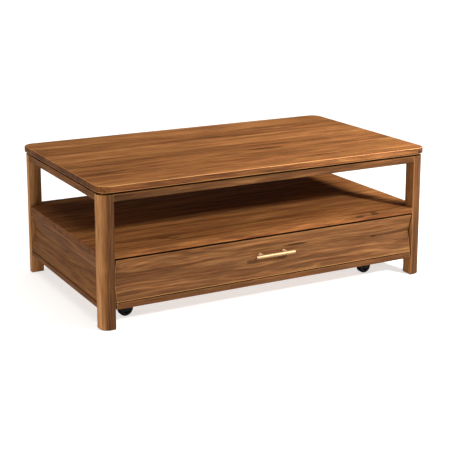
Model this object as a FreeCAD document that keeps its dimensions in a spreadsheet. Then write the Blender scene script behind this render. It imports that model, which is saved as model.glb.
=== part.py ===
import FreeCAD, Part
import os
import re
import Sketcher

# A coffee table: a thick top on four legs, an open shelf, and a drawer that rolls out on casters.
# Millimetres, +X along the table, -Y towards the front, +Z up, origin on the floor under the middle.

SIZES = {
    # Top
    "top_length": 1219,
    "top_depth": 711,
    "table_height": 457,
    "top_thickness": 22.5,
    "top_overhang": 6,
    "top_corner_radius": 40,
    "top_upper_easing": 4,
    "top_lower_easing": 6,
    "top_reveal_height": 7,
    "top_reveal_depth": 12,
    # Legs and their glides
    "leg_width": 45,
    "leg_corner_radius": 30,
    "foot_chamfer": 1.5,
    "glide_height": 2,
    "glide_radius": 13,
    "glide_pin_radius": 2.5,
    "glide_pin_length": 14,
    # Aprons, and the blocks and bolts that pull the legs into them
    "apron_height": 29.5,
    "apron_thickness": 20,
    "apron_setback": 1.5,
    "block_height": 22,
    "block_reach": 60,
    "bolt_radius": 4,
    "bolt_leg_depth": 30,
    "bolt_tip": 3,
    "nut_height": 6.5,
    "nut_corner_radius": 7.5,
    # Shelf and the cleats under it
    "shelf_level": 245,
    "shelf_thickness": 19,
    "shelf_setback": 2,
    "cleat_width": 16,
    "cleat_height": 18,
    # Hollow-faced panels, which share their section with the drawer front
    "panel_thickness": 32,
    "panel_setback": 2,
    "panel_floor_gap": 64,
    "panel_lip": 19,
    "panel_crease": 98,
    "panel_hollow": 15,
    "panel_kerf_height": 4,
    "panel_kerf_depth": 8,
    "lip_chamfer": 2.5,
    # Drawer box, its guides and its stops
    "drawer_end_gap": 4,
    "drawer_head_gap": 6,
    "board_thickness": 14,
    "bottom_thickness": 15,
    "box_headroom": 3,
    "box_side_room": 12.5,
    "guide_rise": 35,
    "guide_height": 30,
    "guide_clearance": 0.5,
    "stop_radius": 10,
    "stop_thickness": 12,
    "stop_clearance": 0.4,
    # Handle
    "handle_length": 145,
    "handle_radius": 6,
    "handle_spacing": 89,
    "handle_standoff": 14.5,
    "handle_chamfer": 1,
    "post_radius": 4.5,
    "post_seat": 4,
    "post_thread": 9,
    # Casters
    "caster_inset_x": 100,
    "caster_inset_y": 76,
    "caster_trail": 24,
    "wheel_radius": 25,
    "wheel_width": 22,
    "wheel_side_play": 0.8,
    "tyre_depth": 6,
    "tyre_easing": 4,
    "hub_boss_radius": 9,
    "hub_web": 8,
    "hub_rim": 3,
    "axle_radius": 4,
    "axle_head_radius": 6,
    "axle_head_height": 2,
    "fork_wall": 3,
    "fork_bridge": 4,
    "fork_crown_gap": 6,
    "fork_eye_radius": 8,
    "race_radius": 15,
    "race_height": 7.5,
    "kingpin_radius": 5,
    "kingpin_head_radius": 8,
    "kingpin_head_height": 3,
    "plate_side": 60,
    "plate_hole_spacing": 44,
    "plate_thickness": 2.5,
    # Dowels and screws
    "dowel_radius": 4,
    "dowel_length": 40,
    "dowel_end_room": 1,
    "screw_radius": 2,
    "screw_head_radius": 4,
    "screw_head_height": 2.2,
    "top_screw_length": 38,
    "shelf_screw_length": 30,
    "cleat_screw_length": 28,
    "guide_screw_length": 34,
    "front_screw_length": 30,
    "box_screw_length": 40,
    "bottom_screw_length": 45,
    "caster_screw_length": 14,
    # Edges and fits
    "edge_easing": 2,
    "joint_gap": 0.1,
    "fit_clearance": 0.05,
    "running_clearance": 0.05,
    "end_clearance": 0.15,
    "cut_overrun": 1,
}

# Places and sizes that follow from the driving sizes.
PLACES = {
    "leg_face_x": "top_length / 2 - top_overhang",
    "leg_face_y": "top_depth / 2 - top_overhang",
    "leg_inner_x": "leg_face_x - leg_width",
    "leg_inner_y": "leg_face_y - leg_width",
    "frame_top": "table_height - top_thickness",
    "apron_core": "apron_setback + apron_thickness / 2",
    "block_notch": "leg_width - apron_setback - apron_thickness",
    "block_depth": "(block_reach - block_notch) / sqrt(2)",
    "bolt_length": "bolt_leg_depth + block_depth + nut_height + bolt_tip",
    "shelf_bottom": "shelf_level - shelf_thickness",
    "panel_height": "shelf_bottom - panel_floor_gap",
    "panel_core": "(panel_thickness + panel_hollow) / 2",
    "panel_inner_x": "leg_face_x - panel_setback - panel_thickness",
    "panel_inner_y": "leg_face_y - panel_setback - panel_thickness",
    "cleat_face_x": "panel_inner_x - cleat_width",
    "cleat_face_y": "panel_inner_y - cleat_width",
    "cleat_bottom": "shelf_bottom - cleat_height",
    "fork_bridge_bottom": "2 * wheel_radius + fork_crown_gap",
    "fork_top": "fork_bridge_bottom + fork_bridge",
    "fork_gap": "wheel_width + 2 * wheel_side_play",
    "fork_width": "fork_gap + 2 * fork_wall",
    "plate_bottom": "fork_top + race_height",
    "box_bottom": "plate_bottom + plate_thickness",
    "box_floor": "box_bottom + bottom_thickness",
    "box_height": "cleat_bottom - box_headroom - box_floor",
    "box_side_x": "leg_inner_x - box_side_room",
    "box_front_y": "panel_inner_y",
    "box_back_y": "panel_inner_y - stop_thickness - stop_clearance",
    "guide_face_x": "box_side_x + guide_clearance",
    "guide_level": "box_floor + guide_rise",
    "drawer_face_y": "leg_face_y - panel_setback",
    "drawer_front_length": "2 * (leg_inner_x - drawer_end_gap)",
    "handle_y": "drawer_face_y + handle_standoff",
    "handle_level": "panel_floor_gap + panel_crease",
    "post_seat_y": "drawer_face_y - panel_hollow - post_seat",
    "handle_screw_length": "post_seat_y - box_front_y + board_thickness + post_thread",
    "caster_x": "leg_inner_x - caster_inset_x",
    "caster_front_y": "box_front_y - caster_inset_y",
    "caster_back_y": "box_back_y - caster_inset_y",
    "hub_radius": "wheel_radius - tyre_depth",
}

# Where dowels and screws sit, as shares of the length or height that carries them.
SIDE_DOWEL_SHARES = (0.15, 0.5, 0.85)
BACK_DOWEL_SHARES = (0.3, 0.68)
SIDE_SHELF_SCREW_SHARES = (-0.6, 0, 0.6)
BACK_SHELF_SCREW_SHARES = (-0.7, -0.25, 0.25, 0.7)
SIDE_CLEAT_SCREW_SHARES = (-0.35, 0.35)
BACK_CLEAT_SCREW_SHARES = (-0.5, 0, 0.5)
GUIDE_SCREW_SHARES = (-0.75, 0, 0.75)
FRONT_SCREW_SHARES = (-0.85, -0.4, 0.4, 0.85)
BOX_SCREW_LEVEL_SHARES = (0.2, 0.85)
BOTTOM_SCREW_SHARES = (-0.6, 0, 0.6)
STOP_SHARE = 0.7

SIDES = {"left": -1, "right": 1}
ENDS = {"front": -1, "back": 1}
CORNERS = [(f"{end}_{side}", x, y) for end, y in ENDS.items() for side, x in SIDES.items()]

X_AXIS = FreeCAD.Vector(1, 0, 0)
Y_AXIS = FreeCAD.Vector(0, 1, 0)
Z_AXIS = FreeCAD.Vector(0, 0, 1)
UPRIGHT = FreeCAD.Rotation()

# Turns that point an upright rod or screw along a table axis.
WAYS = {
    "+x": FreeCAD.Rotation(Z_AXIS, X_AXIS),
    "-x": FreeCAD.Rotation(Z_AXIS, -X_AXIS),
    "+y": FreeCAD.Rotation(Z_AXIS, Y_AXIS),
    "-y": FreeCAD.Rotation(Z_AXIS, -Y_AXIS),
    "+z": UPRIGHT,
}

# Turns that face a board made for the front to each side, and a front left corner to each corner.
FACINGS = {"front": 0, "right": 90, "back": 180, "left": -90}
CORNER_TURNS = {(-1, -1): 0, (1, -1): 90, (1, 1): 180, (-1, 1): 270}

TOUCH = 1e-4

doc = FreeCAD.newDocument("coffee_table")
sheet = doc.addObject("Spreadsheet::Sheet", "sizes")
nodes = []


def fill_sheet():
    """Write the driving sizes as plain numbers, then the places as formulas, each with its alias."""
    cells = {name: str(number) for name, number in SIZES.items()}
    cells.update({name: f"={text}" for name, text in PLACES.items()})
    for row, (name, content) in enumerate(cells.items(), 1):
        sheet.set(f"A{row}", name)
        sheet.setAlias(f"B{row}", name)
        sheet.set(f"B{row}", content)
    doc.recompute()


def formula(text):
    """Point each size name in a formula at its cell."""

    def cell(word):
        name = word.group()
        return f"sizes.{name}" if name in SIZES or name in PLACES else name

    return re.sub(r"[a-z_]+", cell, text)


def amount(text):
    return float(sheet.evalExpression(formula(text)))


def bind(piece, **properties):
    for name, text in properties.items():
        piece.setExpression(name, formula(text))


def place(piece, at, turn=UPRIGHT):
    """Seat a piece at a point given as three formulas."""
    piece.Placement = FreeCAD.Placement(FreeCAD.Vector(), turn)
    for axis, text in zip("xyz", at):
        piece.setExpression(f"Placement.Base.{axis}", formula(text))


def node(piece, label):
    piece.Label = label
    nodes.append(piece)
    return piece


def signed(sign, text):
    return f"{sign} * ({text})"


def board(name, size, at):
    """A plain rectangular board with its lowest corner at a point."""
    piece = doc.addObject("Part::Box", name)
    length, width, height = size
    bind(piece, Length=length, Width=width, Height=height)
    place(piece, at)
    return piece


def rod(name, radius, length, at, turn=UPRIGHT):
    """A round bar that starts at a point."""
    piece = doc.addObject("Part::Cylinder", name)
    bind(piece, Radius=radius, Height=length)
    place(piece, at, turn)
    return piece


def fused(name, pieces):
    whole = doc.addObject("Part::MultiFuse", name)
    whole.Shapes = pieces
    return whole


def grouped(name, pieces):
    whole = doc.addObject("Part::Compound", name)
    whole.Links = pieces
    return whole


def drilled(name, blank, holes):
    """A blank with holes cut out of it."""
    piece = doc.addObject("Part::Cut", name)
    piece.Base = blank
    piece.Tool = grouped(f"{name}_holes", holes)
    return piece


def sketched(body, name, plane):
    sketch = body.newObject("Sketcher::SketchObject", name)
    support = next(feature for feature in body.Origin.OriginFeatures if feature.Role == plane)
    sketch.AttachmentSupport = (support, [""])
    sketch.MapMode = "FlatFace"
    return sketch


def constrain(sketch, text, kind, *where):
    number = sketch.addConstraint(Sketcher.Constraint(kind, *where, amount(text)))
    sketch.setExpression(f"Constraints[{number}]", formula(text))


def outline(body, name, plane, points):
    """A closed outline of straight lines through points given as pairs of formulas."""
    sketch = sketched(body, name, plane)
    spots = [FreeCAD.Vector(amount(across), amount(up), 0) for across, up in points]
    for start, end in zip(spots, spots[1:] + spots[:1]):
        sketch.addGeometry(Part.LineSegment(start, end))
    for line in range(len(points)):
        sketch.addConstraint(Sketcher.Constraint("Coincident", line, 2, (line + 1) % len(points), 1))
    for line, (across, up) in enumerate(points):
        constrain(sketch, across, "DistanceX", -1, 1, line, 1)
        constrain(sketch, up, "DistanceY", -1, 1, line, 1)
    return sketch


def circle(body, name, plane, centre, radius):
    sketch = sketched(body, name, plane)
    across, up = centre
    spot = FreeCAD.Vector(amount(across), amount(up), 0)
    sketch.addGeometry(Part.Circle(spot, Z_AXIS, amount(radius)))
    constrain(sketch, across, "DistanceX", -1, 1, 0, 3)
    constrain(sketch, up, "DistanceY", -1, 1, 0, 3)
    constrain(sketch, radius, "Radius", 0)
    return sketch


def padded(body, sketch, length, side="Symmetric"):
    pad = body.newObject("PartDesign::Pad", f"{body.Name}_pad")
    pad.Profile = sketch
    bind(pad, Length=length)
    pad.SideType = side
    doc.recompute()
    return body


def prism(name, plane, points, length, side="Symmetric"):
    """A body of one section, run out to a length."""
    body = doc.addObject("PartDesign::Body", name)
    return padded(body, outline(body, f"{name}_section", plane, points), length, side)


def pierced(body, sketch):
    """Cut a sketch right through a body, and make sure that it took something away."""
    before = body.Shape.Volume
    pocket = body.newObject("PartDesign::Pocket", f"{sketch.Name}_cut")
    pocket.Profile = sketch
    pocket.SideType = "Symmetric"
    pocket.Type = "ThroughAll"
    doc.recompute()
    if body.Shape.Volume >= before:
        raise RuntimeError(f"{sketch.Name} cuts nothing")


def edges_at(shape, **levels):
    """Names of the edges that lie wholly at the given coordinates."""

    def lies_there(edge):
        box = edge.BoundBox
        spans = {"x": (box.XMin, box.XMax), "y": (box.YMin, box.YMax), "z": (box.ZMin, box.ZMax)}
        return all(abs(end - amount(text)) < TOUCH for axis, text in levels.items() for end in spans[axis])

    return [f"Edge{number}" for number, edge in enumerate(shape.Edges, 1) if lies_there(edge)]


def dressed(body, kind, size, *places):
    """Round or chamfer the edges that lie at any of some places, each a set of levels."""
    base = body.Tip
    names = [name for levels in places for name in edges_at(base.Shape, **levels)]
    feature = body.newObject(f"PartDesign::{kind}", f"{body.Name}_{kind}")
    feature.Base = (base, names)
    bind(feature, **{"Radius" if kind == "Fillet" else "Size": size})
    body.Tip = feature
    doc.recompute()


def turned(name, points, at):
    """A body turned about its own Y axis, from an outline of radius and length."""
    body = doc.addObject("PartDesign::Body", name)
    sketch = outline(body, f"{name}_section", "XY_Plane", points)
    revolution = body.newObject("PartDesign::Revolution", f"{name}_turn")
    revolution.Profile = sketch
    revolution.ReferenceAxis = (sketch, ["V_Axis"])
    place(body, at)
    return body


def dowel(name, middle, axis, end_room="0", side_room="0"):
    """A dowel centred on a joint, or with room to spare the hole for it."""
    half = f"dowel_length / 2 + {end_room}"
    start = [f"{text} - ({half})" if axis == letter else text for letter, text in zip("xyz", middle)]
    return rod(name, f"dowel_radius + {side_room}", f"2 * ({half})", start, WAYS[f"+{axis}"])


def dowel_set(label, spots):
    """A node of dowels, and the holes that they go into."""
    node(grouped(label, [dowel(f"{label}_peg", *spot) for spot in spots]), label)
    return [dowel(f"{label}_hole", *spot, "dowel_end_room", "fit_clearance") for spot in spots]


def screw(name, at, way, length, room="0"):
    """A countersunk screw with its head flush at a point, or with room to spare the hole for it."""
    shank = rod(f"{name}_shank", f"screw_radius + {room}", f"{length} + {room}", at, WAYS[way])
    head = doc.addObject("Part::Cone", f"{name}_head")
    bind(head, Radius1=f"screw_head_radius + {room}", Radius2=f"screw_radius + {room}")
    bind(head, Height=f"screw_head_height + {room}")
    place(head, at, WAYS[way])
    return fused(name, [shank, head])


def screw_set(label, spots, length):
    """A node of like screws, and the holes that they go into."""
    node(grouped(label, [screw(f"{label}_screw", *spot, length) for spot in spots]), label)
    return [screw(f"{label}_hole", *spot, length, "fit_clearance") for spot in spots]


def make_dowels():
    """Dowels at the legs: one for each apron end, several for each panel end, one for each shelf corner."""
    apron_middle = "frame_top - apron_height / 2"
    shelf_middle = "shelf_level - shelf_thickness / 2"
    aprons, panels, shelf = [], [], []
    for _, x, y in CORNERS:
        inner_x = signed(x, "leg_inner_x")
        inner_y = signed(y, "leg_inner_y")
        aprons.append(((inner_x, signed(y, "leg_face_y - apron_core"), apron_middle), "x"))
        aprons.append(((signed(x, "leg_face_x - apron_core"), inner_y, apron_middle), "y"))
        shelf.append(((inner_x, signed(y, "leg_face_y - leg_width / 2"), shelf_middle), "x"))
        for share in SIDE_DOWEL_SHARES:
            level = f"panel_floor_gap + {share} * panel_height"
            panels.append(((signed(x, "leg_face_x - panel_setback - panel_core"), inner_y, level), "y"))
        if y == ENDS["back"]:
            for share in BACK_DOWEL_SHARES:
                level = f"panel_floor_gap + {share} * panel_height"
                panels.append(((inner_x, signed(y, "leg_face_y - panel_setback - panel_core"), level), "x"))
    return {
        "apron": dowel_set("apron_dowels", aprons),
        "panel": dowel_set("panel_dowels", panels),
        "shelf": dowel_set("shelf_dowels", shelf),
    }


def make_bolts():
    """Leg bolts on the corner diagonals with their nuts, and the holes for the bolts."""
    bolts, nuts, holes = [], [], []
    middle = "frame_top - block_height / 2"
    for _, x, y in CORNERS:
        outward = FreeCAD.Rotation(Z_AXIS, FreeCAD.Vector(x, y, 0))

        def inward(distance):
            step = f"({distance}) / sqrt(2)"
            return signed(x, f"leg_inner_x - {step}"), signed(y, f"leg_inner_y - {step}"), middle

        start = inward("block_depth + nut_height + bolt_tip")
        bolts.append(rod("leg_bolt", "bolt_radius", "bolt_length", start, outward))
        hole = rod("bolt_hole", "bolt_radius + fit_clearance", "bolt_length + fit_clearance", start, outward)
        holes.append(hole)
        nut = doc.addObject("Part::Prism", "nut_blank")
        bind(nut, Circumradius="nut_corner_radius", Height="nut_height")
        place(nut, inward("block_depth + nut_height"), outward)
        nuts.append(drilled("leg_nut", nut, [hole]))
    node(grouped("leg_bolts", bolts), "leg_bolts")
    node(grouped("leg_bolt_nuts", nuts), "leg_bolt_nuts")
    return holes


def make_glides():
    """A glide with a pin under each leg, and the holes for the pins."""
    glides, holes = [], []
    for _, x, y in CORNERS:
        middle = (signed(x, "leg_face_x - leg_width / 2"), signed(y, "leg_face_y - leg_width / 2"))
        disc = rod("glide_disc", "glide_radius", "glide_height", (*middle, "0"))
        pin = rod("glide_pin", "glide_pin_radius", "glide_height + glide_pin_length", (*middle, "0"))
        glides.append(fused("glide", [disc, pin]))
        hole_length = "glide_height + glide_pin_length + dowel_end_room"
        holes.append(rod("glide_hole", "glide_pin_radius + fit_clearance", hole_length, (*middle, "0")))
    node(grouped("foot_glides", glides), "foot_glides")
    return holes


def make_reveal():
    """A ring to cut from the legs and aprons, which leaves a dark line all round under the top."""
    x, y = "leg_face_x + cut_overrun", "leg_face_y + cut_overrun"
    inner_x, inner_y = "leg_face_x - top_reveal_depth", "leg_face_y - top_reveal_depth"
    level = "frame_top - top_reveal_height"
    height = "top_reveal_height + cut_overrun"
    around = board("reveal_around", (f"2 * ({x})", f"2 * ({y})", height), (f"-({x})", f"-({y})", level))
    core_size = (f"2 * ({inner_x})", f"2 * ({inner_y})", f"{height} + 2 * cut_overrun")
    core = board("reveal_core", core_size, (f"-({inner_x})", f"-({inner_y})", f"{level} - cut_overrun"))
    return drilled("reveal", around, [core])


def make_legs(holes):
    """Square legs whose outer corner is broadly rounded."""
    half = "leg_width / 2"
    square = [(f"-({half})", f"-({half})"), (half, f"-({half})"), (half, half), (f"-({half})", half)]
    for corner, x, y in CORNERS:
        blank = prism(f"{corner}_leg", "XY_Plane", square, "frame_top - glide_height", "One side")
        dressed(blank, "Fillet", "leg_corner_radius", {"x": f"-({half})", "y": f"-({half})"})
        others = [{"x": half, "y": f"-({half})"}, {"x": half, "y": half}, {"x": f"-({half})", "y": half}]
        dressed(blank, "Fillet", "edge_easing", *others)
        dressed(blank, "Chamfer", "foot_chamfer", {"z": "0"})
        middle = (signed(x, f"leg_face_x - {half}"), signed(y, f"leg_face_y - {half}"), "glide_height")
        place(blank, middle, FreeCAD.Rotation(Z_AXIS, CORNER_TURNS[x, y]))
        node(drilled(f"leg_{corner}", blank, holes), f"leg_{corner}")


def facing(side, setback, level):
    """Seat and turn for a board with its outer face at a setback from the legs on one side."""
    spots = {
        "front": ("0", f"-(leg_face_y - {setback})", level),
        "back": ("0", f"leg_face_y - {setback}", level),
        "left": (f"-(leg_face_x - {setback})", "0", level),
        "right": (f"leg_face_x - {setback}", "0", level),
    }
    return spots[side], FreeCAD.Rotation(Z_AXIS, FACINGS[side])


def span(side):
    """Clear length between the legs on one side."""
    return "2 * leg_inner_x" if side in ENDS else "2 * leg_inner_y"


def make_aprons(holes):
    """Rails between the legs, right under the top, with their lower edges eased."""
    section = [
        ("0", "0"),
        ("apron_thickness", "0"),
        ("apron_thickness", "apron_height"),
        ("0", "apron_height"),
    ]
    for side in FACINGS:
        blank = prism(f"{side}_apron", "YZ_Plane", section, span(side))
        dressed(blank, "Fillet", "edge_easing", {"y": "0", "z": "0"}, {"y": "apron_thickness", "z": "0"})
        place(blank, *facing(side, "apron_setback", "frame_top - apron_height"))
        node(drilled(f"apron_{side}", blank, holes), f"apron_{side}")


def hollow_panel(name, length, height):
    """A panel whose outer face slopes in to a crease, above an upright lip and a saw kerf."""
    section = [
        ("0", "0"),
        ("0", "panel_lip - lip_chamfer"),
        ("lip_chamfer", "panel_lip"),
        ("panel_kerf_depth", "panel_lip"),
        ("panel_kerf_depth", "panel_lip + panel_kerf_height"),
        ("0", "panel_lip + panel_kerf_height"),
        ("panel_hollow", "panel_crease"),
        ("0", height),
        ("panel_thickness", height),
        ("panel_thickness", "0"),
    ]
    body = prism(name, "YZ_Plane", section, length)
    dressed(body, "Fillet", "edge_easing", {"y": "0", "z": "0"}, {"y": "0", "z": height})
    return body


def make_panels(holes):
    """Fixed panels between the legs on both sides and the back, up to the shelf."""
    labels = {"left": "side_panel_left", "right": "side_panel_right", "back": "back_panel"}
    for side, label in labels.items():
        blank = hollow_panel(f"{side}_panel_blank", span(side), "panel_height")
        place(blank, *facing(side, "panel_setback", "panel_floor_gap"))
        node(drilled(label, blank, holes), label)


def make_top(holes):
    """The top, with rounded corners, a small easing above and a quarter round below."""
    x, y = "top_length / 2", "top_depth / 2"
    corners = [(f"-({x})", f"-({y})"), (x, f"-({y})"), (x, y), (f"-({x})", y)]
    blank = prism("top_blank", "XY_Plane", corners, "top_thickness", "One side")
    uprights = [{"x": across, "y": up} for across, up in corners]
    dressed(blank, "Fillet", "top_corner_radius", *uprights)
    dressed(blank, "Fillet", "top_upper_easing", {"z": "top_thickness"})
    dressed(blank, "Fillet", "top_lower_easing", {"z": "0"})
    place(blank, ("0", "0", "frame_top"))
    node(drilled("table_top", blank, holes), "table_top")


def make_shelf(holes):
    """The shelf, notched round the legs, with its outer edges eased."""
    x, y = "leg_face_x - shelf_setback", "leg_face_y - shelf_setback"
    notch_x, notch_y = "leg_inner_x - joint_gap", "leg_inner_y - joint_gap"
    quarter = [(notch_x, y), (notch_x, notch_y), (x, notch_y)]
    points = []
    for across_sign, up_sign in ((1, 1), (1, -1), (-1, -1), (-1, 1)):
        corner = [(signed(across_sign, across), signed(up_sign, up)) for across, up in quarter]
        points += corner if across_sign == up_sign else corner[::-1]
    blank = prism("shelf_blank", "XY_Plane", points, "shelf_thickness", "One side")
    faces = [("x", x), ("x", f"-({x})"), ("y", y), ("y", f"-({y})")]
    rims = [{axis: text, "z": level} for axis, text in faces for level in ("0", "shelf_thickness")]
    dressed(blank, "Fillet", "edge_easing", *rims)
    place(blank, ("0", "0", "shelf_bottom"))
    node(drilled("shelf", blank, holes), "shelf")


def make_top_screws():
    """Two screws for each corner block, up into the top."""
    spots = []
    for _, x, y in CORNERS:
        for across, up in (("block_reach / 2", "-block_notch / 2"), ("-block_notch / 2", "block_reach / 2")):
            at = (signed(x, f"leg_inner_x - ({across})"), signed(y, f"leg_inner_y - ({up})"),
                  "frame_top - block_height")
            spots.append((at, "+z"))
    return screw_set("top_screws", spots, "top_screw_length")


def make_corner_blocks(holes):
    """Blocks that fill the corner between two aprons round the inner edge of each leg."""
    points = [
        ("0", "-block_notch"),
        ("block_reach", "-block_notch"),
        ("-block_notch", "block_reach"),
        ("-block_notch", "0"),
        ("0", "0"),
    ]
    blocks = []
    for corner, x, y in CORNERS:
        blank = prism(f"{corner}_block_blank", "XY_Plane", points, "block_height", "One side")
        at = (signed(x, "leg_inner_x"), signed(y, "leg_inner_y"), "frame_top - block_height")
        place(blank, at, FreeCAD.Rotation(Z_AXIS, CORNER_TURNS[x, y]))
        blocks.append(drilled(f"{corner}_block", blank, holes))
    node(grouped("corner_blocks", blocks), "corner_blocks")


def make_shelf_screws():
    """Screws up through the cleats into the shelf."""
    side_middle = "panel_inner_x - cleat_width / 2"
    back_middle = "panel_inner_y - cleat_width / 2"
    spots = [((signed(x, side_middle), f"{share} * leg_inner_y", "cleat_bottom"), "+z")
             for x in SIDES.values() for share in SIDE_SHELF_SCREW_SHARES]
    spots += [((f"{share} * leg_inner_x", back_middle, "cleat_bottom"), "+z")
              for share in BACK_SHELF_SCREW_SHARES]
    return screw_set("shelf_screws", spots, "shelf_screw_length")


def make_cleat_screws():
    """Screws through the cleats into the panels that carry them."""
    level = "shelf_bottom - cleat_height / 2"
    spots = [((signed(x, "cleat_face_x"), f"{share} * leg_inner_y", level), "+x" if x > 0 else "-x")
             for x in SIDES.values() for share in SIDE_CLEAT_SCREW_SHARES]
    spots += [((f"{share} * leg_inner_x", "cleat_face_y", level), "+y") for share in BACK_CLEAT_SCREW_SHARES]
    return screw_set("cleat_screws", spots, "cleat_screw_length")


def make_cleats(holes):
    """Strips along the top of the panels that the shelf is screwed down to."""
    side_length = "2 * (leg_inner_y - joint_gap)"
    starts = {"left": "-panel_inner_x", "right": "cleat_face_x"}
    for side, start in starts.items():
        size = ("cleat_width", side_length, "cleat_height")
        blank = board(f"{side}_cleat", size, (start, "-(leg_inner_y - joint_gap)", "cleat_bottom"))
        node(drilled(f"shelf_cleat_{side}", blank, holes), f"shelf_cleat_{side}")
    half = "cleat_face_x - joint_gap"
    size = (f"2 * ({half})", "cleat_width", "cleat_height")
    blank = board("back_cleat", size, (f"-({half})", "cleat_face_y", "cleat_bottom"))
    node(drilled("shelf_cleat_back", blank, holes), "shelf_cleat_back")


def make_guide_screws():
    spots = [((signed(x, "guide_face_x"), f"{share} * leg_inner_y", "guide_level + guide_height / 2"),
              "+x" if x > 0 else "-x") for x in SIDES.values() for share in GUIDE_SCREW_SHARES]
    return screw_set("guide_screws", spots, "guide_screw_length")


def make_guides(holes):
    """Strips on the side panels that keep the drawer box straight as it rolls."""
    size = ("panel_inner_x - guide_face_x", "2 * (leg_inner_y - joint_gap)", "guide_height")
    starts = {"left": "-panel_inner_x", "right": "guide_face_x"}
    for side, start in starts.items():
        blank = board(f"{side}_guide", size, (start, "-(leg_inner_y - joint_gap)", "guide_level"))
        node(drilled(f"drawer_guide_{side}", blank, holes), f"drawer_guide_{side}")


def make_stops():
    """Bumpers on the back panel that the closed drawer comes up to."""
    at_y = "panel_inner_y - stop_thickness"
    level = "box_floor + box_height / 2"
    stops = [rod("stop", "stop_radius", "stop_thickness", (f"{x * STOP_SHARE} * box_side_x", at_y, level),
                 WAYS["+y"]) for x in SIDES.values()]
    node(grouped("drawer_stops", stops), "drawer_stops")


def make_front_screws():
    """Screws from inside the box into the drawer front."""
    inner_face = "-(box_front_y - board_thickness)"
    spots = [((f"{across} * box_side_x", inner_face, f"box_floor + {up} * box_height"), "-y")
             for across in FRONT_SCREW_SHARES for up in BOX_SCREW_LEVEL_SHARES]
    return screw_set("drawer_front_screws", spots, "front_screw_length")


def make_box_screws():
    """Screws through the box sides into the ends of the inner front and the back."""
    rows = ("-(box_front_y - board_thickness / 2)", "box_back_y - board_thickness / 2")
    spots = [((signed(x, "box_side_x"), row, f"box_floor + {up} * box_height"), "-x" if x > 0 else "+x")
             for x in SIDES.values() for row in rows for up in BOX_SCREW_LEVEL_SHARES]
    return screw_set("drawer_box_screws", spots, "box_screw_length")


def make_bottom_screws():
    """Screws up through the drawer bottom into all four walls of the box."""
    rows = ("-(box_front_y - board_thickness / 2)", "box_back_y - board_thickness / 2")
    spots = [((signed(x, "box_side_x - board_thickness / 2"), f"{share} * box_front_y", "box_bottom"), "+z")
             for x in SIDES.values() for share in BOTTOM_SCREW_SHARES]
    spots += [((f"{share} * box_side_x", row, "box_bottom"), "+z")
              for row in rows for share in BOTTOM_SCREW_SHARES]
    return screw_set("drawer_bottom_screws", spots, "bottom_screw_length")


def make_handle():
    """A bar on two posts that sit in sockets at the crease, and the sockets with their screw holes."""
    half_spacing = "handle_spacing / 2"
    spots = [((signed(x, half_spacing), "-(box_front_y - board_thickness)", "handle_level"), "-y")
             for x in SIDES.values()]
    screw_holes = screw_set("handle_screws", spots, "handle_screw_length")
    bar = doc.addObject("PartDesign::Body", "bar")
    padded(bar, circle(bar, "bar_section", "YZ_Plane", ("0", "0"), "handle_radius"), "handle_length")
    ends = [{"x": signed(x, "handle_length / 2")} for x in SIDES.values()]
    dressed(bar, "Chamfer", "handle_chamfer", *ends)
    place(bar, ("0", "-handle_y", "handle_level"))
    node(bar, "handle_bar")
    bar_start = ("-handle_length / 2", "-handle_y", "handle_level")
    bar_room = rod("bar_room", "handle_radius + fit_clearance", "handle_length", bar_start, WAYS["+x"])
    posts, sockets = [], []
    for x in SIDES.values():
        middle = signed(x, half_spacing)
        tip = (middle, "-handle_y", "handle_level")
        post = rod("post_blank", "post_radius", "handle_y - post_seat_y", tip, WAYS["+y"])
        posts.append(drilled("post", drilled("post_end", post, [bar_room]), screw_holes))
        mouth = (middle, "-(drawer_face_y + cut_overrun)", "handle_level")
        depth = "drawer_face_y + cut_overrun - post_seat_y"
        sockets.append(rod("post_socket", "post_radius + fit_clearance", depth, mouth, WAYS["+y"]))
    node(grouped("handle_posts", posts), "handle_posts")
    return screw_holes, sockets


def make_drawer(caster_holes):
    """The drawer front and the box behind it, screwed together."""
    front_holes = make_front_screws()
    box_holes = make_box_screws()
    bottom_holes = make_bottom_screws()
    handle_holes, sockets = make_handle()
    front = hollow_panel("front_blank", "drawer_front_length", "panel_height - drawer_head_gap")
    place(front, *facing("front", "panel_setback", "panel_floor_gap"))
    socketed = drilled("front_socketed", front, sockets)
    node(drilled("drawer_front", socketed, front_holes + handle_holes), "drawer_front")

    depth = "box_front_y + box_back_y"
    inside = "box_side_x - board_thickness"
    starts = {"left": "-box_side_x", "right": inside}
    for side, start in starts.items():
        size = ("board_thickness", depth, "box_height")
        blank = board(f"{side}_wall", size, (start, "-box_front_y", "box_floor"))
        node(drilled(f"drawer_side_{side}", blank, box_holes + bottom_holes), f"drawer_side_{side}")

    cross = (f"2 * ({inside})", "board_thickness", "box_height")
    blank = board("inner_wall", cross, (f"-({inside})", "-box_front_y", "box_floor"))
    holes = front_holes + handle_holes + box_holes + bottom_holes
    node(drilled("drawer_inner_front", blank, holes), "drawer_inner_front")
    blank = board("back_wall", cross, (f"-({inside})", "box_back_y - board_thickness", "box_floor"))
    node(drilled("drawer_back", blank, box_holes + bottom_holes), "drawer_back")
    blank = board("floor_board", ("2 * box_side_x", depth, "bottom_thickness"),
                  ("-box_side_x", "-box_front_y", "box_bottom"))
    node(drilled("drawer_bottom", blank, bottom_holes + caster_holes), "drawer_bottom")


def caster_spot(x, y):
    """Swivel axis of a caster, as formulas for X and Y."""
    return signed(x, "caster_x"), signed(y, "caster_front_y" if y == ENDS["front"] else "caster_back_y")


def make_caster_screws():
    half = "plate_hole_spacing / 2"
    spots = []
    for _, x, y in CORNERS:
        across, along = caster_spot(x, y)
        spots += [((f"{across} + {signed(i, half)}", f"{along} + {signed(j, half)}", "plate_bottom"), "+z")
                  for i in (-1, 1) for j in (-1, 1)]
    return screw_set("caster_screws", spots, "caster_screw_length")


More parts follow.
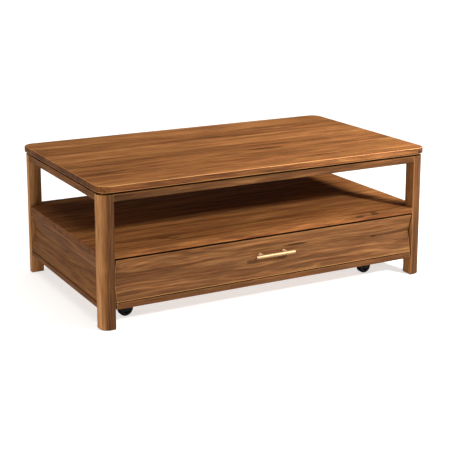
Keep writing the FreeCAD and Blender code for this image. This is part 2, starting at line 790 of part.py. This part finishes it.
def make_caster_plates(holes):
    """Mounting plates, each with the race and the headed king pin that hold its fork."""
    plates = []
    for _, x, y in CORNERS:
        across, along = caster_spot(x, y)
        corner = (f"{across} - plate_side / 2", f"{along} - plate_side / 2", "plate_bottom")
        plate = board("plate", ("plate_side", "plate_side", "plate_thickness"), corner)
        race = rod("race", "race_radius", "race_height - end_clearance",
                   (across, along, "fork_top + end_clearance"))
        head_level = "fork_bridge_bottom - end_clearance - kingpin_head_height"
        pin = rod("king_pin", "kingpin_radius", f"plate_bottom - ({head_level})", (across, along, head_level))
        head = rod("king_pin_head", "kingpin_head_radius", "kingpin_head_height", (across, along, head_level))
        plates.append(drilled("caster_plate", fused("plate_blank", [plate, race, pin, head]), holes))
    node(grouped("caster_plates", plates), "caster_plates")


def make_fork(corner, at):
    """A swivel fork: a bridge under the race with two cheeks that trail back to the axle."""
    section = [
        ("race_radius", "fork_top"),
        ("race_radius", "fork_bridge_bottom"),
        ("-caster_trail + fork_eye_radius", "wheel_radius - fork_eye_radius"),
        ("-caster_trail - fork_eye_radius", "wheel_radius - fork_eye_radius"),
        ("-caster_trail - fork_eye_radius", "wheel_radius + fork_eye_radius"),
        ("-race_radius", "fork_top"),
    ]
    label = f"caster_fork_{corner}"
    fork = prism(label, "XZ_Plane", section, "fork_width")
    eye_corners = [{"x": across, "z": up} for across, up in section[2:5]]
    dressed(fork, "Fillet", "fork_eye_radius / 2", *eye_corners)
    left, right, crown = "-fork_gap / 2", "fork_gap / 2", "fork_bridge_bottom"
    slot = [(left, "0"), (right, "0"), (right, crown), (left, crown)]
    pierced(fork, outline(fork, f"{label}_slot", "YZ_Plane", slot))
    pivot_radius = "kingpin_radius + running_clearance"
    pierced(fork, circle(fork, f"{label}_pivot", "XY_Plane", ("0", "0"), pivot_radius))
    eye = ("-caster_trail", "wheel_radius")
    pierced(fork, circle(fork, f"{label}_eye", "XZ_Plane", eye, "axle_radius + fit_clearance"))
    place(fork, (*at, "0"))
    node(fork, label)


def make_wheel(corner, centre):
    """A headed axle, a dished hub that turns on it, and the tyre round the hub."""
    across, along = centre
    near = (across, f"{along} - fork_width / 2 - axle_head_height", "wheel_radius")
    far = (across, f"{along} + fork_width / 2", "wheel_radius")
    shaft = rod("axle_shaft", "axle_radius", "fork_width + 2 * axle_head_height", near, WAYS["+y"])
    heads = [rod("axle_head", "axle_head_radius", "axle_head_height", at, WAYS["+y"]) for at in (near, far)]
    node(fused(f"caster_axle_{corner}", [shaft, *heads]), f"caster_axle_{corner}")

    bore = "axle_radius + running_clearance"
    dish = "hub_radius - hub_rim"
    edge, web = "wheel_width / 2", "hub_web / 2"
    half = [(bore, edge), ("hub_boss_radius", edge), ("hub_boss_radius", web), (dish, web), (dish, edge),
            ("hub_radius", edge)]
    mirrored = [(radius, f"-({level})") for radius, level in half[::-1]]
    hub = turned(f"wheel_hub_{corner}", half + mirrored, (across, along, "wheel_radius"))
    node(hub, f"wheel_hub_{corner}")

    seat = "hub_radius + fit_clearance"
    half = [(seat, edge), ("wheel_radius - tyre_easing", edge), ("wheel_radius", f"{edge} - tyre_easing")]
    mirrored = [(radius, f"-({level})") for radius, level in half[::-1]]
    tyre = turned(f"wheel_tyre_{corner}", half + mirrored, (across, along, "wheel_radius"))
    node(tyre, f"wheel_tyre_{corner}")


def make_table():
    dowel_holes = make_dowels()
    bolt_holes = make_bolts()
    top_holes = make_top_screws()
    shelf_holes = make_shelf_screws()
    cleat_holes = make_cleat_screws()
    guide_holes = make_guide_screws()
    leg_holes = [hole for holes in dowel_holes.values() for hole in holes]
    leg_holes += bolt_holes + make_glides()
    make_top(top_holes)
    reveal = make_reveal()
    make_legs(leg_holes + [reveal])
    make_aprons(dowel_holes["apron"] + [reveal])
    make_corner_blocks(bolt_holes + top_holes)
    make_shelf(dowel_holes["shelf"] + shelf_holes)
    make_panels(dowel_holes["panel"] + cleat_holes + guide_holes)
    make_cleats(shelf_holes + cleat_holes)
    make_guides(guide_holes)
    make_stops()


def make_casters(screw_holes):
    make_caster_plates(screw_holes)
    for corner, x, y in CORNERS:
        across, along = caster_spot(x, y)
        make_fork(corner, (across, along))
        make_wheel(corner, (f"{across} - caster_trail", along))


def check():
    """Stop if any object failed, or any sub-part has no sound shape."""
    failed = [piece.Name for piece in doc.Objects if {"Invalid", "Error"} & set(piece.State)]
    if failed:
        raise RuntimeError(f"failed objects: {failed}")
    for piece in nodes:
        if piece.Shape.isNull() or not piece.Shape.isValid() or not piece.Shape.Solids:
            raise RuntimeError(f"{piece.Label} has no sound shape")


def write():
    os.makedirs("parts", exist_ok=True)
    for piece in nodes:
        piece.Shape.exportStep(f"parts/{piece.Label}.step")


fill_sheet()
make_table()
caster_screw_holes = make_caster_screws()
make_drawer(caster_screw_holes)
make_casters(caster_screw_holes)
doc.recompute()
check()
write()
for piece in nodes:
    print(f"{piece.Label}: {len(piece.Shape.Solids)} solids")
print(f"{len(nodes)} nodes")
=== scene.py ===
import math

import bmesh
import bpy
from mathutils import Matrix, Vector


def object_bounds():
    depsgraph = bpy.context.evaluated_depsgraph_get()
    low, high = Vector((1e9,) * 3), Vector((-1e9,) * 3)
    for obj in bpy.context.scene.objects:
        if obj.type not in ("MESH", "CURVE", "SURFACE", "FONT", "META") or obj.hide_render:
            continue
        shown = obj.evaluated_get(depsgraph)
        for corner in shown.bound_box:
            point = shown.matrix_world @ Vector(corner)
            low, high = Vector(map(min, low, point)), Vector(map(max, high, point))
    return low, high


# A walnut coffee table with an open shelf, and under it a hollow-faced drawer that rolls on casters.
# Metres, +X along the table, -Y towards the drawer front, +Z up, as in the frame.

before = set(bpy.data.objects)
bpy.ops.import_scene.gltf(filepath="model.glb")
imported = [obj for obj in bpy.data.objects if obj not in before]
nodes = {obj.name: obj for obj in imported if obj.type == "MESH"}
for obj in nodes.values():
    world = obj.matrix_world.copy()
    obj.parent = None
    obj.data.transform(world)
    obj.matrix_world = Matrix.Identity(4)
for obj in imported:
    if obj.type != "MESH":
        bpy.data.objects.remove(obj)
cad_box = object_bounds()

# Camera, at the photograph's viewing angle. The shift is what the photograph's framing needs.
PICTURE_PIXELS = 450
FOCAL_PIXELS = 1140.7
HORIZON_SHIFT = -0.2
CAMERA_PLACE = (-1.8351, -3.4152, 1.2740)
CAMERA_TURN_DEGREES = 28.342
CAMERA_TILT_DEGREES = 11.368
SENSOR_MM = 36

# Studio light: a small softbox at the front right, a weaker one high at the right, a broad low one at the
# left, and a wide bank overhead. Each softbox is placed by its direction from the table and its distance.
KEY = {"way": (0.6, -1, 0.62), "distance": 3.2, "wide": 0.25, "tall": 0.35, "watts": 178}
SIDE = {"way": (1, -0.7, 1.1), "distance": 1.7, "wide": 0.4, "tall": 0.4, "watts": 23}
FILL = {"way": (-1, -0.3, 0.12), "distance": 5, "wide": 2.4, "tall": 1.6, "watts": 168,
        "colour": "#fff0e0"}
OVERHEAD_STRENGTH = 2.1
OVERHEAD_SPREAD_DEGREES = 60
SKY_COLOUR = "#fffdfa"
SKY_STRENGTH = 0.12

# White paper, matt and even. Its glow stands for the light that a white room throws back on it.
FLOOR_RADIUS = 14
FLOOR_SIDES = 96
PAPER = "#bcbab7"
PAPER_ROUGHNESS = 0.9
PAPER_GLOW = 0.65

MM_PER_METRE = 1000
AXES = "xyz"
TABLE_MIDDLE = (Vector(cad_box[0]) + Vector(cad_box[1])) / 2
SHADER = "Principled BSDF"


def linear(colour):
    """An sRGB hex colour as linear red, green, blue and alpha."""
    shares = [int(colour[start:start + 2], 16) / 255 for start in (1, 3, 5)]
    bent = [share / 12.92 if share <= 0.04045 else ((share + 0.055) / 1.055) ** 2.4 for share in shares]
    return bent + [1]


def add(material, kind, inputs=(), stops=(), **settings):
    """Add a shader node: inputs by socket, each a value or an output to link, and ramp stops in hex."""
    tree = material.node_tree
    node = tree.nodes.new(f"ShaderNode{kind}")
    for name, value in settings.items():
        setattr(node, name, value)
    for socket, value in dict(inputs).items():
        if isinstance(value, bpy.types.NodeSocket):
            tree.links.new(value, node.inputs[socket])
        else:
            node.inputs[socket].default_value = value
    if stops:
        elements = node.color_ramp.elements
        while len(elements) < len(stops):
            elements.new(1)
        for element, (place, colour) in zip(elements, stops):
            element.position = place
            element.color = linear(colour)
    return node


def blank(name, sockets):
    """A new material with its shader's fixed sockets set."""
    material = bpy.data.materials.new(name)
    material.use_nodes = True
    for socket, value in sockets.items():
        material.node_tree.nodes[SHADER].inputs[socket].default_value = value
    return material


def finish_surface(material, shade, texture, roughness, bump, relief_mm):
    """Give the shader its colour, and a roughness and a relief that follow one texture."""
    gloss = add(material, "MapRange", {"Value": texture, "To Min": roughness[0], "To Max": roughness[1]})
    relief = add(material, "Bump", {"Strength": bump, "Distance": relief_mm / MM_PER_METRE,
                                    "Height": texture})
    shader = material.node_tree.nodes[SHADER]
    ends = {"Base Color": shade, "Roughness": gloss.outputs[0], "Normal": relief.outputs[0]}
    for socket, output in ends.items():
        material.node_tree.links.new(output, shader.inputs[socket])


def streaks(material, place, grain, length_mm, width_mm, detail, roughness=0.55):
    """Noise drawn out along the grain, or even all ways where there is none."""
    scale = [MM_PER_METRE / (length_mm if axis == grain else width_mm) for axis in AXES]
    stretched = add(material, "Mapping", {"Vector": place, "Scale": scale})
    noise = add(material, "TexNoise", {"Vector": stretched.outputs[0], "Scale": 1, "Detail": detail,
                                       "Roughness": roughness})
    return noise.outputs[0]


def sum_of(material, terms):
    """A weighted sum of outputs, from pairs of output and weight."""
    total = 0.0
    for output, weight in terms:
        total = add(material, "Math", {0: output, 1: weight, 2: total}, operation="MULTIPLY_ADD").outputs[0]
    return total


# Walnut, planed and oiled, with satin lacquer on the top. To the eye it is red and yellow browns in long
# uneven patches, with dark heartwood lines, and growth rings that flow round the knots, under a soft sheen.
WARM_WALNUT = (
    [(0.1, "#2f180a"), (0.32, "#4e2b14"), (0.5, "#6e4121"), (0.68, "#885630"), (0.9, "#a67144")],
    [(0.1, "#321d0c"), (0.32, "#523217"), (0.5, "#704824"), (0.68, "#885c32"), (0.9, "#a57848")],
)
GREY_WALNUT = (
    [(0.1, "#2f1b0d"), (0.32, "#4e2f18"), (0.5, "#6e4829"), (0.68, "#885e3b"), (0.9, "#a67b53")],
    [(0.1, "#321f0f"), (0.32, "#52351d"), (0.5, "#704d2c"), (0.68, "#88623d"), (0.9, "#a58058")],
)
HEARTWOOD = "#26150a"
END_GRAIN = "#2b190d"
# Painted shade for narrow crevices and gaps, and a painted highlight for rounded arrises.
CREVICE_SHADE_COLOUR = "#0d0603"
ARRIS_HIGHLIGHT_COLOUR = "#cc9555"
LACQUER = {"Specular IOR Level": 0.06}
OIL = {"Specular IOR Level": 0.04}
WALNUT_ROUGHNESS = (0.5, 0.75)

# The layers of the figure, all drawn out along the grain. Real pores are about 0.2 mm wide, so the fibres
# are drawn coarser to show.
FIGURE_LAYERS = {
    "bend": {"length_mm": 520, "width_mm": 70, "detail": 2, "roughness": 0.55},
    "clouds": {"length_mm": 380, "width_mm": 34, "detail": 4, "roughness": 0.6},
    "patches": {"length_mm": 170, "width_mm": 11, "detail": 4, "roughness": 0.6},
    "fibres": {"length_mm": 90, "width_mm": 2.5, "detail": 3, "roughness": 0.65},
    "lines": {"length_mm": 190, "width_mm": 7, "detail": 3, "roughness": 0.5},
    "hues": {"length_mm": 240, "width_mm": 18, "detail": 3, "roughness": 0.6},
}
# How much of the tone each layer gives, and the luck of the board.
FIGURE_SHARES = {"rings": 0.4, "clouds": 0.55, "patches": 0.45, "fibres": 0.5, "luck": 0.14}
RAMP_MIDDLE = 0.5
# Luck also shifts each board's figure by up to this many metres, so that no two boards match.
BOARD_SHIFT = (3, 3, 3)
# Spacing of the growth rings, how they lean through a board and wander along it, and what a knot adds.
RING_MM = 9
RING_TILT = 0.6
RING_WANDER_MM = 100
KNOT_RINGS = 5
KNOT_TONE = -0.6
# Where a strip's tone starts and is full, from its limit.
STRIP_FADE_MM = (16, -8)
# Noise values between which the wood goes from red to yellow, and its end grain from sound to spotted.
HUE_RANGE = (0.38, 0.62)
SPOT_RANGE = (0.42, 0.58)
SPOT_CONTRAST = 0.4
# Noise value at which a heartwood line is full, how far below it the line starts, and how much of it shows.
HEART_FULL = 0.74
HEART_FADE = 0.13
HEART_SHARE = 0.65
# How squarely a surface faces out where an edge starts, and where it is full.
EDGE_RANGE = (0.9, 0.5)
# How much the thin painted highlight along a rounded arris lifts the tone.
ARRIS_HIGHLIGHT_LIFT = 3
# Openness of the surroundings where painted crevice shade and arris highlight start, and where they are
# full.
CREVICE_MM = 14
CREVICE_RANGE = (0.68, 0.3)
ARRIS_HIGHLIGHT_MM = 3
ARRIS_HIGHLIGHT_RANGE = (0.8, 0.5)
OPENNESS_SAMPLES = 8


def knot_at(material, position, middle, size):
    """How far inside a long knot a place is, from 0 at its rim to 1 at its middle, with its sizes in mm."""
    halves = [length / 2 for length in size]
    scale = [MM_PER_METRE / half for half in halves]
    offset = [-place / half for place, half in zip(middle, halves)]
    inside = add(material, "Mapping", {"Vector": position, "Location": offset, "Scale": scale})
    away = add(material, "VectorMath", {0: inside.outputs[0]}, operation="LENGTH")
    return add(material, "MapRange", {"Value": away.outputs["Value"], "From Min": 1, "From Max": 0},
               interpolation_type="SMOOTHERSTEP").outputs[0]


def growth_rings(material, place, across, depth, bend, eyes):
    """Growth rings cut lengthwise, wandering as the tree bent and closing round the knots."""
    apart = add(material, "SeparateXYZ", {0: place})
    rings_at = sum_of(material, [
        (apart.outputs[AXES.index(across)], MM_PER_METRE / RING_MM),
        (apart.outputs[AXES.index(depth)], RING_TILT * MM_PER_METRE / RING_MM),
        (bend, RING_WANDER_MM / RING_MM),
        *((eye, KNOT_RINGS) for eye in eyes),
    ])
    rings = add(material, "TexNoise", {"W": rings_at, "Scale": 1, "Detail": 3, "Roughness": 0.6},
                noise_dimensions="1D")
    return rings.outputs[0]


def facing_along(material, normal, axis):
    """How squarely a surface faces along an axis."""
    way = [float(letter == axis) for letter in AXES]
    return add(material, "VectorMath", {0: normal, 1: way}, operation="DOT_PRODUCT").outputs["Value"]


def edge_shade_and_highlight(material, facing, edge_shade):
    """Terms for the painted shade of the edges, and for a thin painted highlight along the rounding beside
    them.
    """
    squarely = add(material, "Math", {0: facing}, operation="ABSOLUTE").outputs[0]
    edge = add(material, "MapRange", {"Value": squarely, "From Min": EDGE_RANGE[0],
                                      "From Max": EDGE_RANGE[1]}).outputs[0]
    squared = add(material, "Math", {0: edge, 1: edge}, operation="MULTIPLY").outputs[0]
    arris = add(material, "Math", {0: edge, 1: squared}, operation="SUBTRACT").outputs[0]
    return [(edge, edge_shade), (arris, ARRIS_HIGHLIGHT_LIFT)]


def end_grain(material, facing, patches, end_share):
    """How dark the end grain is: it drinks more of the finish, unevenly, so it is darker in spots."""
    squared = add(material, "Math", {0: facing, 1: facing}, operation="MULTIPLY").outputs[0]
    spots = add(material, "MapRange", {"Value": patches, "From Min": SPOT_RANGE[0],
                                       "From Max": SPOT_RANGE[1], "To Min": end_share - SPOT_CONTRAST,
                                       "To Max": end_share}).outputs[0]
    return add(material, "Math", {0: squared, 1: spots}, operation="MULTIPLY").outputs[0]


def painted_crevice_shade(material, share):
    """How much painted shade darkens the narrow grooves and gaps, nearly to black."""
    around = add(material, "AmbientOcclusion", {"Distance": CREVICE_MM / MM_PER_METRE},
                 samples=OPENNESS_SAMPLES)
    shade_amount = add(material, "MapRange", {"Value": around.outputs["AO"], "From Min": CREVICE_RANGE[0],
                                        "From Max": CREVICE_RANGE[1], "To Max": share},
                 interpolation_type="SMOOTHSTEP")
    return shade_amount.outputs[0]


def painted_arris_highlight(material, share):
    """How much a painted highlight lightens the wood at its arrises."""
    within = add(material, "AmbientOcclusion", {"Distance": ARRIS_HIGHLIGHT_MM / MM_PER_METRE},
                 samples=OPENNESS_SAMPLES, inside=True)
    highlight_amount = add(material, "MapRange", {"Value": within.outputs["AO"], "From Min": ARRIS_HIGHLIGHT_RANGE[0],
                                        "From Max": ARRIS_HIGHLIGHT_RANGE[1], "To Max": share})
    return highlight_amount.outputs[0]


def walnut(name, shades, finish, grain, across, board_mm, seed, tone, figure, edge_shade=0.0,
           arris_highlight_share=0.15, crevice_shade_share=1.0, end_share=0.4, strip=None, knots=()):
    """Walnut with its grain along one axis, in boards of one width set side by side along another.

    A tone is lighter above 0 and darker below, and the painted shade of the edges comes on top. The figure
    is how strong the grain shows. The shares are how much painted arris highlight, painted crevice shade and
    dark end grain show. The strip is a place in mm, along the boards' width, and the tone that is added
    below it.
    Each knot is its middle and its size along each axis, in mm.
    """
    material = blank(name, finish)
    position = add(material, "TexCoord").outputs["Object"]
    normal = add(material, "NewGeometry").outputs["Normal"]
    depth = next(axis for axis in AXES if axis not in (grain, across))
    side = add(material, "SeparateXYZ", {0: position}).outputs[AXES.index(across)]
    boards = add(material, "Math", {0: side, 1: MM_PER_METRE / board_mm, 2: seed}, operation="MULTIPLY_ADD")
    number = add(material, "Math", {0: boards.outputs[0]}, operation="FLOOR")
    luck = add(material, "TexWhiteNoise", {"W": number.outputs[0]}, noise_dimensions="1D")
    place = add(material, "VectorMath", {0: luck.outputs["Color"], 1: BOARD_SHIFT, 2: position},
                operation="MULTIPLY_ADD").outputs[0]
    eyes = [knot_at(material, position, middle, size) for middle, size in knots]
    layers = {layer: streaks(material, place, grain, **sizes) for layer, sizes in FIGURE_LAYERS.items()}
    layers["rings"] = growth_rings(material, place, across, depth, layers["bend"], eyes)
    layers["luck"] = luck.outputs["Value"]

    terms = [(layers[layer], share * figure) for layer, share in FIGURE_SHARES.items()]
    terms += [(eye, KNOT_TONE) for eye in eyes]
    if strip:
        limit_mm, strip_tone = strip
        start, end = ((limit_mm + fade) / MM_PER_METRE for fade in STRIP_FADE_MM)
        below = add(material, "MapRange", {"Value": side, "From Min": start, "From Max": end},
                    interpolation_type="SMOOTHSTEP")
        terms.append((below.outputs[0], strip_tone))
    if edge_shade:
        terms += edge_shade_and_highlight(material, facing_along(material, normal, depth), edge_shade)
    middle_tone = RAMP_MIDDLE + tone - sum(FIGURE_SHARES.values()) / 2 * figure
    toned = add(material, "Math", {0: sum_of(material, terms), 1: middle_tone}, operation="ADD").outputs[0]

    red, yellow = (add(material, "ValToRGB", {0: toned}, stops=stops).outputs[0] for stops in shades)
    hue = add(material, "MapRange", {"Value": layers["hues"], "From Min": HUE_RANGE[0],
                                     "From Max": HUE_RANGE[1]})
    shade = add(material, "Mix", {0: hue.outputs[0], 6: red, 7: yellow}, data_type="RGBA").outputs[2]
    heart_start = HEART_FULL - HEART_FADE * figure
    heart = add(material, "MapRange", {"Value": layers["lines"], "From Min": heart_start,
                                       "From Max": HEART_FULL, "To Max": HEART_SHARE},
                interpolation_type="SMOOTHSTEP")
    ends = end_grain(material, facing_along(material, normal, grain), layers["patches"], end_share)
    # Heartwood lines and dark end grain, then painted crevice shade and a painted arris highlight, laid on
    # in turn.
    colour_layers = [
        (heart.outputs[0], HEARTWOOD),
        (ends, END_GRAIN),
        (painted_crevice_shade(material, crevice_shade_share), CREVICE_SHADE_COLOUR),
        (painted_arris_highlight(material, arris_highlight_share), ARRIS_HIGHLIGHT_COLOUR),
    ]
    for share, colour in colour_layers:
        shade = add(material, "Mix", {0: share, 6: shade, 7: linear(colour)}, data_type="RGBA").outputs[2]
    finish_surface(material, shade, layers["fibres"], WALNUT_ROUGHNESS, bump=0.3, relief_mm=0.4)
    return material


# Beech, planed and left bare, is an even pale tan. Birch under a thin brown stain is as plain and darker.
# Both have faint bands and short flecks, which are drawn longer and wider than real ones to show.
BEECH = [(0.3, "#a57a4c"), (0.5, "#bb9161"), (0.7, "#cba678")]
STAINED_BIRCH = [(0.3, "#7d5633"), (0.5, "#946a42"), (0.7, "#a67d53")]
BANDS = {"length_mm": 320, "width_mm": 26, "detail": 4}
FLECKS = {"length_mm": 22, "width_mm": 2.4, "detail": 2}
BAND_SHARE = 0.7
FLECK_SHARE = 0.3


def plain_wood(name, shades, grain, seed):
    """Bare or thinly stained wood with fine straight grain."""
    material = blank(name, {})
    position = add(material, "TexCoord").outputs["Object"]
    place = add(material, "Mapping", {"Vector": position, "Location": (seed, seed, seed)}).outputs[0]
    bands = streaks(material, place, grain, **BANDS)
    flecks = streaks(material, place, grain, **FLECKS)
    mixed = sum_of(material, [(bands, BAND_SHARE), (flecks, FLECK_SHARE)])
    shade = add(material, "ValToRGB", {0: mixed}, stops=shades)
    finish_surface(material, shade.outputs[0], flecks, roughness=(0.5, 0.7), bump=0.2, relief_mm=0.3)
    return material


# Brass, brushed along its length under a satin lacquer, is a pale yellow with a broad soft highlight. Zinc
# plate is a cool grey with a faint spangle. Brush marks are drawn about ten times too wide, to show.
BRASS = [(0.3, "#7c5d3a"), (0.7, "#8e6e4a")]
# The posts get a paler, less metallic copy of the brass, which paints in the highlight that falls on them.
POST_HIGHLIGHT_BRASS = [(0.3, "#c8a27a"), (0.7, "#dcbb94")]
ZINC = [(0.3, "#a3a5a4"), (0.7, "#c6c8c6")]
METAL_SPREAD = (0.75, 1.25)


def metal(name, shades, grain, length_mm, width_mm, roughness, metallic=1.0):
    """Worked metal whose tool marks run along one axis, less metallic where a satin lacquer covers it."""
    material = blank(name, {"Metallic": metallic})
    position = add(material, "TexCoord").outputs["Object"]
    marks = streaks(material, position, grain, length_mm, width_mm, detail=3)
    shade = add(material, "ValToRGB", {0: marks}, stops=shades)
    spread = [roughness * share for share in METAL_SPREAD]
    finish_surface(material, shade.outputs[0], marks, spread, bump=0.15, relief_mm=0.1)
    return material


# Powder coat on steel is black with a low sheen, moulded nylon a little shinier, and rubber black and dull.
# Their grit is a tenth of a millimetre or so, and is drawn coarser to show.
BLACK = [(0.3, "#050505"), (0.7, "#0b0b0b")]
BROWN_NYLON = [(0.3, "#2b221b"), (0.7, "#3a2f27")]
POWDER_SHEEN = {"Specular IOR Level": 0.12}
NYLON_SHEEN = {"Specular IOR Level": 0.2}
RUBBER_SHEEN = {"Specular IOR Level": 0.05}
MOULDED_SPREAD = (0.8, 1.2)


def moulded(name, shades, grit_mm, roughness, sheen):
    """An even moulded or coated surface with a fine grit."""
    material = blank(name, sheen)
    position = add(material, "TexCoord").outputs["Object"]
    grit = streaks(material, position, None, grit_mm, grit_mm, detail=3)
    shade = add(material, "ValToRGB", {0: grit}, stops=shades)
    spread = [roughness * share for share in MOULDED_SPREAD]
    finish_surface(material, shade.outputs[0], grit, spread, bump=0.2, relief_mm=0.2)
    return material


def dress(material, *names):
    """Give nodes a material in place of the one that they came with."""
    for name in names:
        nodes[name].data.materials.clear()
        nodes[name].data.materials.append(material)


# Knots and dark flecks that stand out in the photograph.
TOP_KNOTS = [((110, -105, 457), (190, 22, 60)), ((-70, -134, 457), (230, 12, 60))]
SHELF_KNOTS = [((-356, -273, 245), (60, 16, 60)), ((-328, -288, 245), (60, 14, 60)),
               ((339, -347, 241), (50, 60, 10)), ((401, -347, 243), (40, 60, 10))]
DRAWER_KNOTS = [((93, -338, 178), (120, 60, 12)), ((406, -335, 161), (36, 60, 12))]

# The top is a little paler along its front, and the drawer's lip a little darker than its face.
TOP_FRONT_STRIP = (-260, 0.06)
DRAWER_LIP = (80, -0.09)

# Each part sets its own shares of painted arris highlight and painted crevice shade; the top also has
# painted shade on its edges.
dress(walnut("walnut_top", WARM_WALNUT, LACQUER, grain="x", across="y", board_mm=118.5, seed=0, tone=0.03,
             figure=1.2, edge_shade=-0.22, arris_highlight_share=0.25, strip=TOP_FRONT_STRIP, knots=TOP_KNOTS),
      "table_top")
dress(walnut("walnut_shelf", WARM_WALNUT, OIL, grain="x", across="y", board_mm=140, seed=7, tone=-0.01,
             figure=1.2, end_share=0.75, knots=SHELF_KNOTS),
      "shelf")
dress(walnut("walnut_drawer_front", GREY_WALNUT, OIL, grain="x", across="z", board_mm=90, seed=13,
             tone=-0.165, figure=0.85, arris_highlight_share=0.4, strip=DRAWER_LIP, knots=DRAWER_KNOTS),
      "drawer_front")
dress(walnut("walnut_back", GREY_WALNUT, OIL, grain="x", across="z", board_mm=90, seed=21, tone=-0.05,
             figure=0.75),
      "back_panel")
dress(walnut("walnut_sides", GREY_WALNUT, OIL, grain="y", across="z", board_mm=90, seed=29, tone=-0.14,
             figure=0.75),
      "side_panel_left", "side_panel_right")
dress(walnut("walnut_long_rails", GREY_WALNUT, OIL, grain="x", across="y", board_mm=60, seed=37, tone=-0.25,
             figure=1, crevice_shade_share=0.45),
      "apron_front", "apron_back")
dress(walnut("walnut_short_rails", GREY_WALNUT, OIL, grain="y", across="x", board_mm=60, seed=43, tone=-0.19,
             figure=0.9, crevice_shade_share=0.1),
      "apron_left", "apron_right")

# Each leg is cut from a board of its own: its tone, and where a paler strip ends and how much paler it is.
# The strips are painted light, on the left legs' outer side and on the front right leg's inner face.
LEGS = {
    "front_left": (-0.25, (-592, 0.45)),
    "front_right": (-0.25, (554, 0.48)),
    "back_left": (-0.06, (-592, 0.26)),
    "back_right": (-0.14, None),
}
FIRST_LEG_SEED = 51
for leg_seed, (corner, (leg_tone, painted_light_strip)) in enumerate(LEGS.items(), FIRST_LEG_SEED):
    dress(walnut(f"walnut_leg_{corner}", GREY_WALNUT, OIL, grain="z", across="x", board_mm=60, seed=leg_seed,
                 tone=leg_tone, figure=0.9, crevice_shade_share=0.5, strip=painted_light_strip),
          f"leg_{corner}")

dress(plain_wood("beech_strips", BEECH, grain="y", seed=0),
      "shelf_cleat_left", "shelf_cleat_right", "drawer_guide_left", "drawer_guide_right")
dress(plain_wood("beech_back_strip", BEECH, grain="x", seed=3),
      "shelf_cleat_back", "corner_blocks", "apron_dowels", "panel_dowels", "shelf_dowels")
dress(plain_wood("stained_birch_sides", STAINED_BIRCH, grain="y", seed=5),
      "drawer_side_left", "drawer_side_right")
dress(plain_wood("stained_birch_cross", STAINED_BIRCH, grain="x", seed=8),
      "drawer_inner_front", "drawer_back", "drawer_bottom")

dress(metal("satin_brass", BRASS, grain="x", length_mm=40, width_mm=1.2, roughness=0.42, metallic=0.5),
      "handle_bar")
# The posts' paler copy of the brass is a painted highlight.
dress(metal("brass_painted_highlight", POST_HIGHLIGHT_BRASS, grain="y", length_mm=12, width_mm=1.2, roughness=0.42,
            metallic=0.3),
      "handle_posts")
dress(metal("zinc_plate", ZINC, grain=None, length_mm=3, width_mm=3, roughness=0.36),
      "leg_bolts", "leg_bolt_nuts", "top_screws", "shelf_screws", "cleat_screws", "guide_screws",
      "drawer_front_screws", "drawer_box_screws", "drawer_bottom_screws", "handle_screws", "caster_screws")

CORNERS = list(LEGS)
dress(moulded("black_powder_coat", BLACK, grit_mm=1.5, roughness=0.5, sheen=POWDER_SHEEN),
      "caster_plates", *(f"caster_{piece}_{corner}" for piece in ("fork", "axle") for corner in CORNERS))
dress(moulded("black_nylon", BLACK, grit_mm=2.5, roughness=0.5, sheen=NYLON_SHEEN),
      *(f"wheel_hub_{corner}" for corner in CORNERS))
dress(moulded("black_rubber", BLACK, grit_mm=2, roughness=0.8, sheen=RUBBER_SHEEN),
      "drawer_stops", *(f"wheel_tyre_{corner}" for corner in CORNERS))
dress(moulded("brown_nylon", BROWN_NYLON, grit_mm=2, roughness=0.45, sheen={}),
      "foot_glides")


def make_floor():
    sheet = bmesh.new()
    bmesh.ops.create_circle(sheet, cap_ends=True, radius=FLOOR_RADIUS, segments=FLOOR_SIDES)
    mesh = bpy.data.meshes.new("floor")
    sheet.to_mesh(mesh)
    sheet.free()
    mesh.materials.append(blank("white_paper", {
        "Roughness": PAPER_ROUGHNESS,
        "Base Color": linear(PAPER),
        "Emission Color": linear("#ffffff"),
        "Emission Strength": PAPER_GLOW,
    }))
    floor = bpy.data.objects.new("floor", mesh)
    bpy.context.scene.collection.objects.link(floor)


def softbox(name, way, distance, wide, tall, watts, colour="#ffffff"):
    data = bpy.data.lights.new(name, "AREA")
    data.shape = "RECTANGLE"
    data.size = wide
    data.size_y = tall
    data.energy = watts
    data.color = linear(colour)[:3]
    lamp = bpy.data.objects.new(name, data)
    way = Vector(way).normalized()
    lamp.location = TABLE_MIDDLE + way * distance
    lamp.rotation_euler = way.to_track_quat("Z", "Y").to_euler()
    bpy.context.scene.collection.objects.link(lamp)


def make_light():
    softbox("key", **KEY)
    softbox("side", **SIDE)
    softbox("fill", **FILL)
    bank = bpy.data.lights.new("overhead", "SUN")
    bank.energy = OVERHEAD_STRENGTH
    bank.angle = math.radians(OVERHEAD_SPREAD_DEGREES)
    bpy.context.scene.collection.objects.link(bpy.data.objects.new("overhead", bank))
    world = bpy.data.worlds.new("studio")
    world.use_nodes = True
    sky = world.node_tree.nodes["Background"]
    sky.inputs["Color"].default_value = linear(SKY_COLOUR)
    sky.inputs["Strength"].default_value = SKY_STRENGTH
    bpy.context.scene.world = world
    bpy.context.scene.view_settings.view_transform = "Standard"


def make_camera():
    data = bpy.data.cameras.new("camera")
    data.sensor_width = SENSOR_MM
    data.lens = FOCAL_PIXELS / PICTURE_PIXELS * SENSOR_MM
    data.shift_y = HORIZON_SHIFT
    camera = bpy.data.objects.new("camera", data)
    camera.location = CAMERA_PLACE
    camera.rotation_euler = (math.radians(90 - CAMERA_TILT_DEGREES), 0, -math.radians(CAMERA_TURN_DEGREES))
    bpy.context.scene.collection.objects.link(camera)
    bpy.context.scene.camera = camera


make_floor()
make_light()
make_camera()
